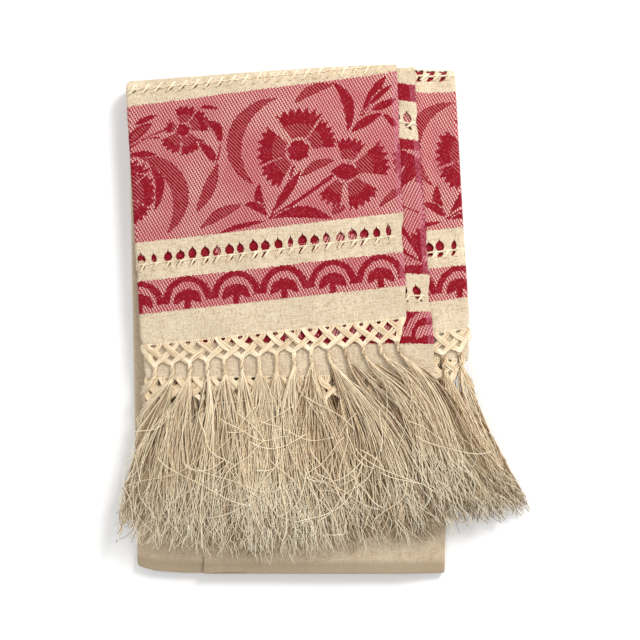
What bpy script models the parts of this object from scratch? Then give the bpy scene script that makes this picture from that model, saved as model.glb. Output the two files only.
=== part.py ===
"""A damask table runner, folded up: the cloth and the knotted fringe of each of its two ends.

The cloth is worked out flat and then folded three times by three small functions:

  double   it is folded in half across, right side out. The end that finishes on top is the top
           end, the other one the under end.
  zigzag   the doubled cloth is folded in three across its width: the third panel lies lowest,
           the second on it, the first on top.
  turn     the whole stack is folded over once more near its far edge, so that both ends and
           their fringes come back over it, with the third panel on top.

Metres, +Z up. +Y runs up the folded runner from the half fold to the turned edge, +X across it.
The origin is the middle of the box that holds the runner, on the surface it lies on.
"""
import math

import bmesh
import bpy

MM = 0.001

# the cloth
CLOTH_WIDTH = 526 * MM
THICKNESS = 1.0 * MM
LAYER_PITCH = 1.3 * MM
GAP = 0.3 * MM

# the folded stack
FOLDED_WIDTH = 201 * MM
THIRD_PANEL = 170 * MM          # from the left folds to the selvedge, at the half fold
SELVEDGE_DRIFT = 0.0168         # that panel narrows towards the top end and widens to the other
TURN_LEFT = 289 * MM            # where the turned edge starts to bend, at the left folds
TURN_RISE = 10.4 * MM           # and how much further up that is at its right
TURN_RISE_ENDS = 165 * MM
TURN_FLATTENS = 6               # the higher, the later the rise levels out
PAIR_BEND = LAYER_PITCH / 2     # radius of the half fold, between the two cloths of a pair
PANEL_BEND = LAYER_PITCH        # radius of the panel folds, at the middle of a pair
TURN_BEND = 3 * LAYER_PITCH     # radius of the turned edge, at the middle of the stack
TURN_HEIGHT = THICKNESS / 2 + 5.5 * LAYER_PITCH
PAIR_EDGE = PAIR_BEND + THICKNESS / 2
PANEL_EDGE = PANEL_BEND + PAIR_EDGE
PANEL_RUN = FOLDED_WIDTH - 2 * PANEL_EDGE

# how unevenly it lies: sideways lean and widening, in metres for each metre from the turned edge
FLAP_LEAN, FLAP_WIDENING = 0.058, -0.03
BODY_LEAN, BODY_WIDENING = 0.034, -0.32
CORNER_PULL, CORNER_REACH = 5 * MM, 9 * MM      # the half fold's pulled-up left corner
CORNER_FADE = 40 * MM
SAG = 2 * LAYER_PITCH                           # right of the third panel the rest sinks
SAG_START, SAG_RUN = 176 * MM, 10 * MM
LAST_COMMON_LEVEL = 160 * MM                    # below this level the flap no longer sinks
SAG_FADE = 60 * MM

# the fringes
LATTICE_DEPTH = 14 * MM
TASSEL_PITCH = 10.55 * MM
FIRST_TASSEL = 8 * MM
TASSELS_ACROSS = 18
NECK_WIDTH, TASSEL_WIDTH, TIP_WIDTH = 5 * MM, 9.2 * MM, 6.6 * MM
FAN_START = 114 * MM            # below this line the tassels swing aside
FAN_EASE = 16 * MM
FAN_SHIFT_MIDDLE = 62 * MM      # left of it they swing left, right of it right
SWING_LEFT, SWING_RIGHT = math.radians(30), math.radians(33)
TIP_LEVELS = (15 * MM, 10 * MM, 13 * MM)        # each tassel's tip, in turn
TIP_RISE, TIP_RISE_START = 24 * MM, 90 * MM     # further right they stop higher
FAR_LEVELS = (98 * MM, 84 * MM, 68 * MM, 48 * MM)   # where the tassels that swing far bend
NEAR_LEVELS = (98 * MM, 56 * MM)                # and where the others do
FAR_START = 82 * MM
SHORTEST_STEP = 3 * MM
RIGHT_FALL_START, LEFT_FALL_START = 209 * MM, -1 * MM
FALL_RUN = 34 * MM
FALL_HEIGHT = 6 * LAYER_PITCH

# name, side of the doubled cloth, height of its end at the left fold, how that line slopes on
# the third panel and on the others
ENDS = (
    {"name": "fringe_top_end", "side": 1, "end": 133.6 * MM, "third": -0.104, "rest": -0.040},
    {"name": "fringe_under_end", "side": -1, "end": 127.0 * MM, "third": 0.0618, "rest": 0.083},
)

# steps between corners of the mesh
BEND_STEPS = 6
TURN_STEPS = 8
FLAT_STOPS = (14 * MM, 50 * MM, 100 * MM, 145 * MM)
SAG_STOPS = (176 * MM, 181 * MM, 186 * MM)
FLAP_STOPS = (0.5, 1.0)         # parts of the way from the turned edge to the last common level
BODY_STOPS = (0.4, 0.8)

LINEN = (0.80, 0.72, 0.54, 1.0)
YARN = (0.72, 0.58, 0.42, 1.0)


def ease(t):
    """0 below 0, 1 above 1 and a smooth S between them."""
    t = min(1.0, max(0.0, t))
    return t * t * (3 - 2 * t)


# ---------------------------------------------------------------- the three folds

def double(along, offset):
    """Half fold. along: signed distance from its crest, plus on the top end's side.
    Returns the distance up from the fold and the distance from the pair's middle."""
    half_arc = math.pi * PAIR_BEND / 2
    radius = PAIR_BEND + offset
    if abs(along) <= half_arc:
        angle = along / PAIR_BEND
        return PAIR_EDGE - radius * math.cos(angle), radius * math.sin(angle)
    return PAIR_EDGE + abs(along) - half_arc, math.copysign(radius, along)


def zigzag(across, offset):
    """Panel folds. across: distance from the left folds' crest, minus on the third panel.
    Returns the place across the stack and the height in it."""
    quarter = math.pi * PANEL_BEND / 2
    third = THICKNESS / 2 + 0.5 * LAYER_PITCH
    second = third + 2 * PANEL_BEND
    first = second + 2 * PANEL_BEND
    right = PANEL_EDGE + PANEL_RUN
    if across < -quarter:
        return PANEL_EDGE - across - quarter, third - offset
    if across <= quarter:
        angle = across / PANEL_BEND
        radius = PANEL_BEND + offset
        return PANEL_EDGE - radius * math.cos(angle), third + PANEL_BEND + radius * math.sin(angle)
    across -= quarter
    if across <= PANEL_RUN:
        return PANEL_EDGE + across, second + offset
    across -= PANEL_RUN
    if across <= 2 * quarter:
        angle = across / PANEL_BEND - math.pi / 2
        radius = PANEL_BEND - offset
        return right + radius * math.cos(angle), second + PANEL_BEND + radius * math.sin(angle)
    return right - (across - 2 * quarter), first - offset


def turn_line(place):
    """How far up the stack the turned edge starts to bend, at a place across it."""
    t = min(1.0, max(0.0, place / TURN_RISE_ENDS))
    n = TURN_FLATTENS
    return TURN_LEFT + TURN_RISE * (n * t - t ** n) / (n - 1)


def turn(place, height, up):
    """Turned edge. Returns y, z and whether the point has come over onto the flap."""
    line = turn_line(place)
    past = up - line
    radius = TURN_HEIGHT - height
    if past <= 0:
        return up, height, False
    angle = past / TURN_BEND
    if angle < math.pi:
        return line + radius * math.sin(angle), TURN_HEIGHT - radius * math.cos(angle), angle > math.pi / 2
    return line - (past - math.pi * TURN_BEND), TURN_HEIGHT + radius, True


# ---------------------------------------------------------------- how it lies

def settle(place, y, z, flap):
    """Leans, widens and sags the crisp stack into the uneven one."""
    fall = max(0.0, turn_line(place) - y)
    lean, widening = (FLAP_LEAN, FLAP_WIDENING) if flap else (BODY_LEAN, BODY_WIDENING)
    x = lean * fall + place * (1 + widening * fall)
    sag = SAG * ease((place - SAG_START) / SAG_RUN)
    if flap:
        return x, y, z - sag * ease((y - LAST_COMMON_LEVEL) / SAG_FADE)
    y += CORNER_PULL * math.exp(-place / CORNER_REACH) * max(0.0, 1 - y / CORNER_FADE)
    return x, y, z - sag


def swing(place, x, y, z):
    """Swings the fringe aside below the fan line and lets what leaves the stack fall."""
    below = FAN_START - y
    if below <= 0:
        return x, y, z
    reach = below - FAN_EASE * (1 - math.exp(-below / FAN_EASE))
    part = (place - FAN_SHIFT_MIDDLE) / (FOLDED_WIDTH - FAN_SHIFT_MIDDLE)
    angle = SWING_LEFT * part if part < 0 else SWING_RIGHT * part * part
    x += math.sin(angle) * reach
    y += (1 - math.cos(angle)) * reach
    fallen = ease((x - RIGHT_FALL_START) / FALL_RUN) + ease((LEFT_FALL_START - x) / FALL_RUN)
    return x, y, z - FALL_HEIGHT * fallen


def point(across, along, offset):
    """Where a point of the flat runner lies once folded."""
    up, beside = double(along, offset)
    place, height = zigzag(across, beside)
    y, z, flap = turn(place, height, up)
    x, y, z = settle(place, y, z, flap)
    return swing(place, x, y, z) if flap else (x, y, z)


# ---------------------------------------------------------------- lines on the flat runner

def along_at(side, up):
    """The signed distance from the half fold's crest of what lies this far up the stack."""
    return side * (up - PAIR_EDGE + math.pi * PAIR_BEND / 2)


def up_on_flap(place, y):
    """The distance up the stack that the turned edge brings back to this level."""
    return 2 * turn_line(place) + math.pi * TURN_BEND - y


def end_level(end, across):
    """The level at which the cloth of this end stops."""
    return end["end"] + across * (end["third"] if across < 0 else end["rest"])


def selvedge(along):
    """The across value of the third panel's selvedge."""
    width = THIRD_PANEL - SELVEDGE_DRIFT * along
    return PANEL_EDGE - width - math.pi * PANEL_BEND / 2


def across_at(panel, place):
    """The across value of a place on the third (3), second (2) or first (1) panel."""
    quarter = math.pi * PANEL_BEND / 2
    if panel == 3:
        return PANEL_EDGE - quarter - place
    if panel == 2:
        return place - PANEL_EDGE + quarter
    return 3 * quarter + 2 * PANEL_RUN + PANEL_EDGE - place


def bend_stops(start):
    """The across values through one panel fold."""
    arc = math.pi * PANEL_BEND
    return [start + arc * k / BEND_STEPS for k in range(BEND_STEPS + 1)]


def panel_stops(third, rest, first):
    """All across values from selvedge to selvedge, without the selvedges themselves.
    third, rest and first are places across the stack for the three panels."""
    quarter = math.pi * PANEL_BEND / 2
    stops = [across_at(3, place) for place in sorted(third, reverse=True)]
    stops += bend_stops(-quarter)
    stops += [across_at(2, place) for place in sorted(rest)]
    stops += bend_stops(quarter + PANEL_RUN)
    return stops + [across_at(1, place) for place in sorted(first, reverse=True)]


# ---------------------------------------------------------------- sheet to solid

def solid(name, cells, place_of, colour):
    """Makes one closed sheet from cells, each four keys in order round it. place_of(key, side)
    gives a corner of its face (side 1) or reverse (side -1). Loose edges are walled."""
    bm = bmesh.new()
    corners = {}
    for key in {key for cell in cells for key in cell}:
        corners[key] = [bm.verts.new(place_of(key, side)) for side in (1, -1)]
    edges = set()
    for a, b, c, d in cells:
        for corner in ((a, b, c), (a, c, d)):
            bm.faces.new([corners[key][0] for key in corner])
            bm.faces.new([corners[key][1] for key in reversed(corner)])
        edges.update(((a, b), (b, c), (c, d), (d, a)))
    for a, b in edges:
        if (b, a) not in edges:
            wall = corners[a][0], corners[a][1], corners[b][1], corners[b][0]
            bm.faces.new(wall[:3])
            bm.faces.new((wall[0], wall[2], wall[3]))
    bmesh.ops.recalc_face_normals(bm, faces=bm.faces)
    mesh = bpy.data.meshes.new(name)
    bm.to_mesh(mesh)
    bm.free()
    mesh.materials.append(material(name, colour))
    piece = bpy.data.objects.new(name, mesh)
    bpy.context.scene.collection.objects.link(piece)
    return piece


def material(name, colour):
    """A plain matt textile colour."""
    made = bpy.data.materials.new(name)
    made.use_nodes = True
    shader = made.node_tree.nodes["Principled BSDF"]
    shader.inputs["Base Color"].default_value = colour
    shader.inputs["Roughness"].default_value = 0.9
    shader.inputs["Metallic"].default_value = 0.0
    return made


# ---------------------------------------------------------------- the pieces

def cloth_rows():
    """The lines across the cloth, from the top end to the under end. Each is the end it
    belongs to and a function of (across, place) that gives the distance up the stack."""
    rows = []
    for end in ENDS:
        half = [lambda across, place, e=end: up_on_flap(place, end_level(e, across))]
        for part in reversed(FLAP_STOPS):
            half.append(lambda across, place, p=part: up_on_flap(
                place, turn_line(place) + p * (LAST_COMMON_LEVEL - turn_line(place))))
        for step in range(TURN_STEPS, -1, -1):
            half.append(lambda across, place, k=step: (
                turn_line(place) + math.pi * TURN_BEND * k / TURN_STEPS))
        for part in BODY_STOPS:
            half.append(lambda across, place, p=part: turn_line(place) * (1 - p))
        half.append(lambda across, place: CORNER_REACH)
        rows.append([(end["side"], row) for row in half])
    crest = math.pi * PAIR_BEND / 2
    fold = [crest * (1 - 2 * k / BEND_STEPS) for k in range(BEND_STEPS + 1)]
    return rows[0] + [(0, along) for along in fold] + rows[1][::-1]


def make_cloth():
    """The folded cloth, one closed sheet of twelve layers."""
    stops = panel_stops(FLAT_STOPS, FLAT_STOPS + SAG_STOPS, FLAT_STOPS[:0:-1] + SAG_STOPS)
    rows = cloth_rows()
    last = len(stops) + 1

    def place_of(key, side):
        column, line = key
        kind, row = rows[line]

        def along_of(across):
            place = zigzag(across, 0)[0]
            return row if kind == 0 else along_at(kind, row(across, place))

        if column == 0:
            across = selvedge(along_of(stops[0]))
        elif column == last:
            across = selvedge(along_of(stops[-1])) + CLOTH_WIDTH
        else:
            across = stops[column - 1]
        return point(across, along_of(across), side * THICKNESS / 2)

    cells = []
    for column in range(last):
        for line in range(len(rows) - 1):
            cells.append(((column, line), (column + 1, line),
                          (column + 1, line + 1), (column, line + 1)))
    return solid("cloth", cells, place_of, LINEN)


def tassel_places(panel, side):
    """The tassels' numbers and middles on one panel, inside its selvedge."""
    edge = selvedge(along_at(side, up_on_flap(THIRD_PANEL, FAN_START)))
    half = NECK_WIDTH / 2
    found = []
    for number in range(TASSELS_ACROSS):
        middle = FIRST_TASSEL + number * TASSEL_PITCH
        ends = across_at(panel, middle - half), across_at(panel, middle + half)
        if edge < min(ends) and max(ends) < edge + CLOTH_WIDTH:
            found.append((number, middle))
    return found


def tassel_levels(number, start):
    """The levels and widths of a tassel below its neck. The ones further right swing far and
    fall off the stack, so they bend in more places."""
    place = FIRST_TASSEL + number * TASSEL_PITCH
    rise = ease((place - TIP_RISE_START) / (FOLDED_WIDTH - TIP_RISE_START))
    tip = TIP_LEVELS[number % len(TIP_LEVELS)] + TIP_RISE * rise
    levels = FAR_LEVELS if place > FAR_START else NEAR_LEVELS
    rows = [(level, TASSEL_WIDTH) for level in levels if tip < level < start - SHORTEST_STEP]
    return rows + [(tip, TIP_WIDTH)]


def make_fringe(end):
    """One fringe: the knotted lattice along the cloth's end, as a plain band, and its tassels."""
    side = end["side"]
    roots = {}
    for panel in (3, 2, 1):
        roots[panel] = tassel_places(panel, side)
    half = NECK_WIDTH / 2
    sides = {panel: [middle + way * half for _, middle in roots[panel] for way in (-1, 1)]
             for panel in roots}
    stops = panel_stops(sides[3], sides[2], sides[1])
    edge = selvedge(along_at(side, up_on_flap(THIRD_PANEL, end_level(end, -THIRD_PANEL))))
    stops = [edge] + stops + [edge + CLOTH_WIDTH]
    drop = {0: GAP, 1: LATTICE_DEPTH + GAP}

    def place_of(key, face):
        across, level = key
        place = zigzag(across, 0)[0]
        if isinstance(level, int):
            level = end_level(end, across) - drop[level]
        return point(across, along_at(side, up_on_flap(place, level)), face * THICKNESS / 2)

    cells = [((left, 0), (right, 0), (right, 1), (left, 1))
             for left, right in zip(stops, stops[1:])]
    for panel, tassels in roots.items():
        for number, middle in tassels:
            near, far = across_at(panel, middle - half), across_at(panel, middle + half)
            start = end_level(end, across_at(panel, middle)) - drop[1]
            above = [(near, 1), (far, 1)]
            for level, width in tassel_levels(number, start):
                below = [(across_at(panel, middle - width / 2), level),
                         (across_at(panel, middle + width / 2), level)]
                ring = (above[0], above[1], below[1], below[0])
                if panel != 2:
                    ring = (above[1], above[0], below[0], below[1])
                cells.append(ring)
                above = below
    return solid(end["name"], cells, place_of, YARN)


def centre(pieces):
    """Moves every mesh so that the box round them all stands on the origin."""
    corners = [vertex.co for piece in pieces for vertex in piece.data.vertices]
    shift = [(min(c[k] for c in corners) + max(c[k] for c in corners)) / 2 for k in (0, 1)]
    shift.append(min(c[2] for c in corners))
    for piece in pieces:
        for vertex in piece.data.vertices:
            vertex.co = [vertex.co[k] - shift[k] for k in range(3)]


def main():
    for old in list(bpy.data.objects):
        bpy.data.objects.remove(old, do_unlink=True)
    pieces = [make_cloth()] + [make_fringe(end) for end in ENDS]
    centre(pieces)


main()
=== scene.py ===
# %% [markdown]
# # A damask table runner, folded
#
# A linen runner with a woven red border and a knotted, tasselled fringe at each end. It lies
# folded flat: once in half, then in three across its width, then once more so that both
# fringed ends come back over the stack. The whole runner is one sheet of cloth and two fringes.
#
# The way of working is the weaver's and the folder's. First the cloth is described flat, with
# its bands, openwork and flowers. Then one function folds any point of it. Every thread, knot
# and tassel goes through that same function, so they all lie on the same folds.
#
# The frame is loaded first. It holds the plain solids whose places everything here follows.

import math

import bpy
import numpy as np
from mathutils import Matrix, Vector
from mathutils.geometry import delaunay_2d_cdt


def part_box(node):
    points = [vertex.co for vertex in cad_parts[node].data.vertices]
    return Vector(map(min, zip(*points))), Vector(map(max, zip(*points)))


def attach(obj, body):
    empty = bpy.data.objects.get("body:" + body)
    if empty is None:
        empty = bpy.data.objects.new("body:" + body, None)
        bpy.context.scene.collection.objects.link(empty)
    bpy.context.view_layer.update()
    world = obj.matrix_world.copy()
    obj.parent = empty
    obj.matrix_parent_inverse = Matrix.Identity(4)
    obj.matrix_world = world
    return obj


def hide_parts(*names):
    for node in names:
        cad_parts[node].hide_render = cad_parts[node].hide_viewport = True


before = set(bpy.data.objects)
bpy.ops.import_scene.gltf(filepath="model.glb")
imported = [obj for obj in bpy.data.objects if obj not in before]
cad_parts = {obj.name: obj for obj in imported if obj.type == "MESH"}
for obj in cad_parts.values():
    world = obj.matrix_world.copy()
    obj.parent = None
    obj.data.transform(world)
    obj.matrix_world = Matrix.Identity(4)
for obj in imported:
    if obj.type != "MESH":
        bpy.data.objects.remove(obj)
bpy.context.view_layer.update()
bpy.ops.object.select_all(action="DESELECT")
print("frame:", sorted(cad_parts))

# %% [markdown]
# ## The fold
#
# Cloth that is folded by hand keeps its length along the threads, so the fold is worked out
# from distances on the flat cloth. `across` is measured from the crest of the left folds,
# minus on the third panel, and `along` from the crest of the half fold, plus towards the end
# that finishes on top. `offset` is the distance out from the middle of the cloth's thickness.
# The sizes are millimetres, and mostly those of the solids. Only the flap's lean, the under
# end's edge and the sweep of the fringe are set a little more closely. A cloth simulation could
# drop a sheet into folds too, but it wouldn't land on the solids, and here twelve layers have
# to nest without touching.

# %% Sizes of the folded cloth, in millimetres
MM = 0.001
CLOTH_WIDTH = 526.0
THICKNESS = 1.0                 # of its solid
CLOTH_THICKNESS = 0.7           # of what shows
LAYER_PITCH = 1.3               # from the middle of one layer to the next
FOLDED_WIDTH = 201.0
THIRD_PANEL = 170.0             # the panel that ends in a selvedge on top
SELVEDGE_DRIFT = 0.0168         # how much wider it gets, for each millimetre along
STACK_HEIGHT = 12 * LAYER_PITCH
print("twelve layers stand", round(STACK_HEIGHT, 1), "mm high")

# %% The half fold makes a pair of layers
PAIR_BEND = LAYER_PITCH / 2         # to the middle of what bends, as for every fold here
PAIR_ARC = math.pi * PAIR_BEND / 2
PAIR_EDGE = PAIR_BEND + THICKNESS / 2


def double(along, offset):
    """The distance up from the half fold and the distance from the pair's middle."""
    angle = np.clip(along, -PAIR_ARC, PAIR_ARC) / PAIR_BEND
    radius = PAIR_BEND + offset
    run = np.maximum(np.abs(along) - PAIR_ARC, 0)
    return PAIR_EDGE - radius * np.cos(angle) + run, radius * np.sin(angle)

# %% The panel folds make three pairs
PANEL_BEND = LAYER_PITCH
PANEL_EDGE = PANEL_BEND + PAIR_EDGE
PANEL_RUN = FOLDED_WIDTH - 2 * PANEL_EDGE
QUARTER = math.pi * PANEL_BEND / 2  # a quarter turn's length


def zigzag(across, offset):
    """The place across the stack and the height in it."""
    third = THICKNESS / 2 + 0.5 * LAYER_PITCH
    second = third + 2 * PANEL_BEND
    angle = np.clip(across, -QUARTER, QUARTER) / PANEL_BEND
    radius = PANEL_BEND + offset
    run = np.clip(across - QUARTER, 0, PANEL_RUN) + np.maximum(-across - QUARTER, 0)
    place = PANEL_EDGE - radius * np.cos(angle) + run
    height = third + PANEL_BEND + radius * np.sin(angle)
    past = across - QUARTER - PANEL_RUN
    angle = np.clip(past, 0, 2 * QUARTER) / PANEL_BEND - math.pi / 2
    radius = PANEL_BEND - offset
    first_place = PANEL_EDGE + PANEL_RUN + radius * np.cos(angle) - np.maximum(past - 2 * QUARTER, 0)
    first_height = second + PANEL_BEND + radius * np.sin(angle)
    return np.where(past > 0, first_place, place), np.where(past > 0, first_height, height)

# %% The turned edge brings the stack back over itself
TURN_BEND = 3 * LAYER_PITCH
TURN_HEIGHT = THICKNESS / 2 + 5.5 * LAYER_PITCH
# where it lies at the left, how far it rises, up to where, and how soon it levels out
TURN_LEFT, TURN_RISE, TURN_RISE_ENDS, TURN_FLATTENS = 289.0, 10.4, 165.0, 6


def turn_line(place):
    """How far up the stack the turned edge starts to bend."""
    t = np.clip(place / TURN_RISE_ENDS, 0, 1)
    return TURN_LEFT + TURN_RISE * (TURN_FLATTENS * t - t ** TURN_FLATTENS) / (TURN_FLATTENS - 1)


def turn(place, height, up):
    """The level, the height and whether the point has come over onto the flap."""
    line = turn_line(place)
    past = up - line
    radius = TURN_HEIGHT - height
    angle = np.clip(past / TURN_BEND, 0, math.pi)
    y = line + np.minimum(past, 0) + radius * np.sin(angle) - np.maximum(past - math.pi * TURN_BEND, 0)
    return y, TURN_HEIGHT - radius * np.cos(angle), angle > math.pi / 2


print("the turned edge lies at", turn_line(0.0), "to", round(float(turn_line(FOLDED_WIDTH)), 1), "mm")

# %% The stack leans, narrows and sags
FLAP_LEAN, FLAP_WIDENING = 0.075, -0.165 * MM       # for each millimetre below the turned edge
BODY_LEAN, BODY_WIDENING = 0.034, -0.32 * MM
SAG, SAG_START, SAG_RUN = 2 * LAYER_PITCH, 176.0, 10.0      # where no third panel lies below
LAST_COMMON_LEVEL, SAG_FADE = 160.0, 60.0           # on the flap it fades above this level
CORNER_PULL, CORNER_REACH, CORNER_FADE = 5.0, 9.0, 40.0     # the rounded lower left corner


def ease(t):
    """0 below 0, 1 above 1 and a smooth S between them."""
    t = np.clip(t, 0.0, 1.0)
    return t * t * (3 - 2 * t)


def settle(place, y, z, flap):
    """Leans, widens and sags the crisp stack into the uneven one."""
    fall = np.maximum(0, turn_line(place) - y)
    lean = np.where(flap, FLAP_LEAN, BODY_LEAN)
    widening = np.where(flap, FLAP_WIDENING, BODY_WIDENING)
    sag = SAG * ease((place - SAG_START) / SAG_RUN)
    sag = sag * np.where(flap, ease((y - LAST_COMMON_LEVEL) / SAG_FADE), 1)
    pull = CORNER_PULL * np.exp(-place / CORNER_REACH) * np.maximum(0, 1 - y / CORNER_FADE)
    x = lean * fall + place * (1 + widening * fall)
    return x, y + np.where(flap, 0, pull), z - sag

# %% The fringe is swept aside, and falls where it leaves the stack
FAN_START, FAN_EASE, FAN_SHIFT_MIDDLE = 114.0, 16.0, 62.0
SWING_LEFT, SWING_RIGHT = math.radians(38), math.radians(28)
RIGHT_FALL_START, LEFT_FALL_START, FALL_RUN = 209.0, -1.0, 34.0
FALL_HEIGHT = 6 * LAYER_PITCH


def swing(place, x, y, z, flap):
    """Swings the fringe aside below the fan line and lets what leaves the stack fall."""
    below = np.maximum(FAN_START - y, 0) * flap
    reach = below - FAN_EASE * (1 - np.exp(-below / FAN_EASE))
    part = (place - FAN_SHIFT_MIDDLE) / (FOLDED_WIDTH - FAN_SHIFT_MIDDLE)
    angle = np.where(part < 0, SWING_LEFT * part, SWING_RIGHT * part * part)
    x = x + np.sin(angle) * reach
    y = y + (1 - np.cos(angle)) * reach
    fallen = ease((x - RIGHT_FALL_START) / FALL_RUN) + ease((LEFT_FALL_START - x) / FALL_RUN)
    return x, y, z - FALL_HEIGHT * fallen * (below > 0)

# %% All the folds together
RIPPLE = 0.45


def ripple(x, y):
    """The gentle unevenness that all the layers share, as a part of their height."""
    wave = np.sin(x / 17 + 0.6 * np.sin(y / 23)) * np.sin(y / 29 + 1.3 + 0.5 * np.sin(x / 31))
    small = np.sin(x / 7.3 + y / 11.0) * np.sin(y / 9.1 - x / 19.0)
    return RIPPLE * (wave + 0.35 * small) / STACK_HEIGHT


def fold(across, along, offset):
    """Where points of the flat runner lie once folded: an array of x, y, z in millimetres."""
    across, along, offset = np.broadcast_arrays(across, along, offset)
    up, beside = double(along, offset)
    place, height = zigzag(across, beside)
    y, z, flap = turn(place, height, up)
    x, y, z = settle(place, y, z, flap)
    x, y, z = swing(place, x, y, z, flap)
    return np.stack((x, y, z * (1 + ripple(x, y))), axis=-1)


CORNER = np.array(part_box("cloth")[0])


def in_metres(points):
    """From millimetres on the folded runner to the frame's metres."""
    return np.asarray(points) * MM + CORNER


print("turned edge at the left:", in_metres(fold(0.0, 300.0, 0.0)).round(4))

# %% The two ends, and levels on the flap
# each end's side of the half fold, its edge's level at the left fold, and the edge's slope on
# the third panel and on the rest
TOP_END = {"side": 1, "end": 133.6, "third": -0.104, "rest": -0.040}
UNDER_END = {"side": -1, "end": 114.6, "third": -0.012, "rest": 0.149}


def along_at(side, up):
    """The distance from the half fold's crest of what lies this far up the stack."""
    return side * (up - PAIR_EDGE + PAIR_ARC)


def up_on_flap(place, y):
    """The distance up the stack that the turned edge brings back to this level."""
    return 2 * turn_line(place) + math.pi * TURN_BEND - y


def end_level(end, across):
    """The level at which the cloth of this end stops."""
    return end["end"] + across * np.where(across < 0, end["third"], end["rest"])


def stretch(end, across):
    """How far the bands of this end are pulled up, for each millimetre in from its edge."""
    third = np.minimum(across, 0)
    if end["side"] > 0:
        return 0.990 - 0.00019 * third
    return 1.13 + 0.00094 * third - 0.00070 * np.maximum(across, 0)


def along_in(end, across, inward):
    """The along value a distance in from this end's edge. Beyond the edge it is minus."""
    place = zigzag(across, 0.0)[0]
    level = end_level(end, across) + stretch(end, across) * inward
    return along_at(end["side"], up_on_flap(place, level))


def inward_of(end, across, along):
    """The distance in from this end's edge: the other way round."""
    place = zigzag(across, 0.0)[0]
    up = end["side"] * along + PAIR_EDGE - PAIR_ARC
    level = 2 * turn_line(place) + math.pi * TURN_BEND - up
    return (level - end_level(end, across)) / stretch(end, across)

# %% Panels and selvedges
def selvedge(along):
    """The across value of the third panel's selvedge."""
    return PANEL_EDGE - (THIRD_PANEL - SELVEDGE_DRIFT * along) - QUARTER


def across_at(panel, place):
    """The across value of a place on the third (3), second (2) or first (1) panel."""
    if panel == 3:
        return PANEL_EDGE - QUARTER - place
    if panel == 2:
        return place - PANEL_EDGE + QUARTER
    return 3 * QUARTER + 2 * PANEL_RUN + PANEL_EDGE - place


print("the third panel's selvedge by the top edge:", round(selvedge(along_at(1, 450.0)), 1), "mm across")

# %% [markdown]
# ## The border's bands
#
# From each edge inwards come a plain band, a band of arches, drawn-thread openwork, a wide
# band of flowers, openwork again and a narrow red line. Their edges are distances in from the
# edge of the cloth. Openwork is made by pulling weft threads out and tying the bare warps into
# bundles along one thread, so each hole narrows to that thread from both sides.

# %% Band edges, in millimetres in from the cloth's edge
ARCHES = (19.2, 39.0)
FLOWERS = (62.3, 146.6)
RED_LINE = (171.0, 182.0)
OPENWORK = ((44.0, 60.0), (148.0, 168.0))
TIED_THREADS = (48.8, 156.8)        # the threads that tie the two openwork bands
HOLE_PITCH = 7.5
HALF_ROWS = 460.0                   # from an edge to the half fold, as the chart counts it
print("the border is", RED_LINE[1], "mm deep")

# %% The holes of the openwork
UPPER_HOLES_END = 62.0              # the top end's upper openwork goes over the turned edge here
# a hole's outline round the point where it crosses the tying thread: right, inward
LARGE_HOLE = ((0.1, 8.8), (0.5, 7.2), (2.2, 5.7), (2.9, 3.3), (1.9, 0.8),
              (-1.7, 0.6), (-2.9, 2.8), (-2.4, 5.2), (-0.4, 7.2))
SMALL_HOLE = ((1.5, -0.6), (1.8, -1.7), (0.3, -3.4), (-1.9, -4.3), (-2.9, -3.8), (-1.9, -2.1), (-1.0, -0.6))
THREAD_DRIFT = 0.045                # how fast the top end's upper thread nears the flowers


def thread_at(end, thread, place):
    """How far in a tying thread runs at a place across the third panel."""
    return thread - (THREAD_DRIFT * place if end["side"] > 0 and thread > FLOWERS[1] else 0.0)


def holes_of(end, seed):
    """The outlines of one end's holes, as arrays of across and inward."""
    rng = np.random.default_rng(seed)
    right = -end["side"]
    third = THIRD_PANEL - SELVEDGE_DRIFT * end["side"] * HALF_ROWS
    outlines = []
    for thread in TIED_THREADS:
        for panel in (3, 2):
            first = 4.6 if panel == 3 else 6.0
            widest = third - 6 if panel == 3 else FOLDED_WIDTH - 6
            for middle in np.arange(first, widest, HOLE_PITCH):
                centre = across_at(panel, middle + rng.uniform(-0.5, 0.5))
                level = thread_at(end, thread, middle if panel == 3 else 0.0)
                width = rng.choice((1.0, 0.92, 0.8, 0.6), p=(0.4, 0.3, 0.2, 0.1))
                length = rng.uniform(0.8, 1.02)
                slant = rng.uniform(-0.12, 0.12)
                at_turn = panel == 3 and end["side"] > 0 and thread > FLOWERS[1]
                if at_turn and middle > UPPER_HOLES_END:
                    continue
                if at_turn:
                    length *= 0.7
                for hole in (SMALL_HOLE,) if at_turn else (LARGE_HOLE, SMALL_HOLE):
                    points = np.array(hole) * (width, length)
                    points[:, 0] += slant * points[:, 1]
                    outlines.append(points * (right, 1) + (centre, level))
    return outlines


print("holes of the top end:", len(holes_of(TOP_END, 11)))

# %% [markdown]
# ## The flowers
#
# The figures are ordinary damask flowers: carnations with toothed petals, lance leaves,
# crescents and stems. They are drawn with distances. Each shape is a function that says how
# far a point is outside it, minus inside. The cloth's mesh carries that distance, and the
# finish turns it into red threads, so the outline can step from thread to thread as woven
# figures do. A shape is drawn over the ones before it with a thin light line left round it.

# %% Leaves, stems and crescents, as distances
FAR_OFF = 9.0                       # a distance at which a figure no longer counts


def shape(middle, distance, hatch=None):
    """A shape with its place across. hatch(x, y, away) is minus where it is hatched, and away
    is its own distance."""
    return {"middle": middle, "distance": distance, "hatch": hatch}


def inset(depth):
    """Hatching that stops this far inside the outline."""
    return None if depth is None else lambda x, y, away: away + depth


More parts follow.
